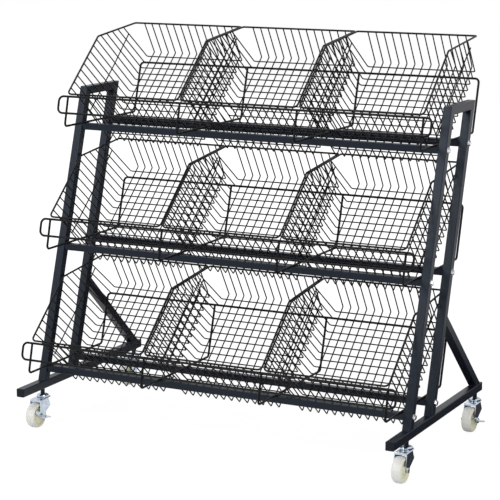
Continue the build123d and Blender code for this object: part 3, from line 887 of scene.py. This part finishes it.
def frameJoints(s, side):
    # side view of where the faces of two tubes meet: posts on foot, brace ends, mitres under the cap
    postUp = slope(90 - s["postLean"])
    depth = Vector((0, s["tubeSide"] / postUp.z, 0))
    front, rear = (across(0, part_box(side + post)[0]) for post in ("_front_post", "_rear_post"))
    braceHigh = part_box(side + "_brace")[1]
    toCap = postUp * ((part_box(side + "_cap")[0].z - front.z) / postUp.z)
    braceTop = rear + depth + postUp * ((braceHigh.z - rear.z) / postUp.z)
    braceFoot = Vector((0, braceHigh.y, front.z))
    braceDown = (braceFoot - braceTop).normalized()
    onPost = braceTop - postUp * (s["tubeSide"] / braceDown.cross(postUp).length)
    onFoot = braceFoot + Vector((0, s["tubeSide"] / braceDown.z, 0))
    return (front, front + depth, rear, rear + depth, braceTop, onPost, braceFoot, onFoot,
            front + depth + toCap, rear + toCap)


def weldRuns(s):
    tubes, wires = [], []
    for side in ("left", "right"):
        middle = middleOf(side + "_front_post").x
        for joint in frameJoints(s, side):
            line = [across(middle + end * s["tubeHalf"], joint) for end in (-1, 1)]
            tubes.append((line, [0.0, 0.0], s["tubeBead"], False))
    for pair in crossbars:
        for bar in pair:
            for x in bracketRow:
                for beside in (-s["beside"], s["beside"]):
                    line = [bar + Vector((x + beside, end * s["wireHalf"], s["barTop"])) for end in (-1, 1)]
                    wires.append((line, [0.0, 0.0], s["wireBead"], False))
    return tubes, wires


beadTree = makeBeadTree()
for name, runs in zip(("frame_welds", "cradle_welds"), weldRuns(weldSizes)):
    welds = throughNodes(pathPiece(name, runs, [], Vector()), beadTree, {"Finish": frameCoat})
    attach(welds, "stand")
    print(name, len(welds.data.polygons), "faces")

# finishes on the pieces that keep their own shape
slotFinish = {"frame_coat": frameCoat, "wire_coat": wireCoat, "plug": plugPlastic, "zinc": zincBright,
              "castor_steel": castorSteel, "nylon": nylonWheel}
for name, node in nodes.items():
    for slot in node.material_slots:
        label = slot.material.name.split(".")[0] if slot.material else ""
        if label in slotFinish:
            slot.material = slotFinish[label]
        else:
            print("no finish for", name, label)
print("finishes placed")


# 1 for what the camera, a reflection or clear glass sees, 0 for what only lights the stand
def seenRays(tree):
    rays = addNode(tree, "ShaderNodeLightPath").outputs
    beyond = mathNode(tree, "MAXIMUM", rays["Is Glossy Ray"], rays["Is Transmission Ray"])
    return mathNode(tree, "MAXIMUM", rays["Is Camera Ray"], beyond)


# plain pale floor, white to the camera apart from the stand's shadow
floorSettings = {"half": 8, "paint": (0.7, 0.7, 0.7, 1), "roughness": 0.9, "glow": 1.12,
                 "fadeStart": 1.1, "fadeEnd": 2.6, "nearGlow": 0.82}


def makeFloorPaint(s):
    material, tree, paint = newMaterial("floorPaint", Base_Color=s["paint"], Roughness=s["roughness"],
                                        Specular_IOR_Level=0.0)
    glow = feed(tree, addNode(tree, "ShaderNodeEmission"), Color=(1, 1, 1, 1), Strength=s["glow"])
    away = addNode(tree, "ShaderNodeVectorMath", operation="LENGTH")
    tree.links.new(addNode(tree, "ShaderNodeTexCoord").outputs["Object"], away.inputs[0])
    # shadow near the stand, plain white further out
    fade = feed(tree, addNode(tree, "ShaderNodeMapRange"), Value=away.outputs["Value"],
                From_Min=s["fadeStart"], From_Max=s["fadeEnd"], To_Min=s["nearGlow"], To_Max=1.0)
    veil = feed(tree, addNode(tree, "ShaderNodeMixShader"),
                Fac=mathNode(tree, "MULTIPLY", seenRays(tree), fade.outputs["Result"]))
    tree.links.new(paint.outputs["BSDF"], veil.inputs[1])
    tree.links.new(glow.outputs["Emission"], veil.inputs[2])
    feed(tree, tree.nodes["Material Output"], Surface=veil.outputs["Shader"])
    return material


def flatSheet(name, outline, height, material):
    mesh = bpy.data.meshes.new(name)
    mesh.from_pydata([(x, y, height) for x, y in outline], [], [tuple(range(len(outline)))])
    mesh.materials.append(material)
    return newObject(name, mesh)


half = floorSettings["half"]
floor = flatSheet("floor", ((-half, -half), (half, -half), (half, half), (-half, half)), 0,
                  makeFloorPaint(floorSettings))

# a dark card to the right and behind, seen only in reflections
flagSettings = {"colour": (0.012, 0.012, 0.015, 1), "roughness": 1.0, "height": 0.0008,
                "outline": ((0.62, -0.8), (1.35, -0.8), (1.35, 1.4), (0.8, 1.4), (2.5, 5.0), (-1.2, 5.0),
                            (-0.36, 0.12), (0.62, 0.12))}
flagCard = newMaterial("flagCard", Base_Color=flagSettings["colour"], Roughness=flagSettings["roughness"])[0]
flag = flatSheet("dark_flag", flagSettings["outline"], flagSettings["height"], flagCard)
flag.visible_camera = False
flag.visible_diffuse = False
flag.visible_transmission = False
flag.visible_shadow = False

# the world gives soft light at this strength, and is white where it is seen
worldSettings = {"light": 0.6, "seen": 1.0}
world = bpy.data.worlds.new("studio")
scene.world = world
world.use_nodes = True
sky = world.node_tree
extra = mathNode(sky, "MULTIPLY", seenRays(sky), worldSettings["seen"] - worldSettings["light"])
feed(sky, sky.nodes["Background"], Color=(1, 1, 1, 1),
     Strength=mathNode(sky, "ADD", worldSettings["light"], extra))

lampSettings = {
    "key": {"place": (-1.9, -4.2, 3.3), "aim": (0, 0, 0.6), "size": 1.8, "power": 92},
    "fill": {"place": (3.6, -2.4, 2.4), "aim": (0, 0, 0.5), "size": 1.6, "power": 45},
    "top": {"place": (-0.4, -0.4, 4.0), "aim": (0, 0, 0.4), "size": 2.2, "power": 90},
}
for name, s in lampSettings.items():
    lamp = bpy.data.lights.new(name, "AREA")
    lamp.size = s["size"]
    lamp.energy = s["power"]
    holder = newObject(name, lamp)
    holder.location = s["place"]
    holder.rotation_euler = (Vector(s["aim"]) - Vector(s["place"])).to_track_quat("-Z", "Y").to_euler()

viewSettings = {"place": (2.39106, -4.75805, 1.59458), "tilt": 78.83, "turn": 26.79, "lens": 133.29,
                "sensor": 36.0}
cameraData = bpy.data.cameras.new("camera")
cameraData.sensor_fit = "HORIZONTAL"
cameraData.sensor_width = viewSettings["sensor"]
cameraData.lens = viewSettings["lens"]
camera = newObject("camera", cameraData)
camera.location = viewSettings["place"]
camera.rotation_euler = (math.radians(viewSettings["tilt"]), 0, math.radians(viewSettings["turn"]))
scene.camera = camera
print("stage lit")
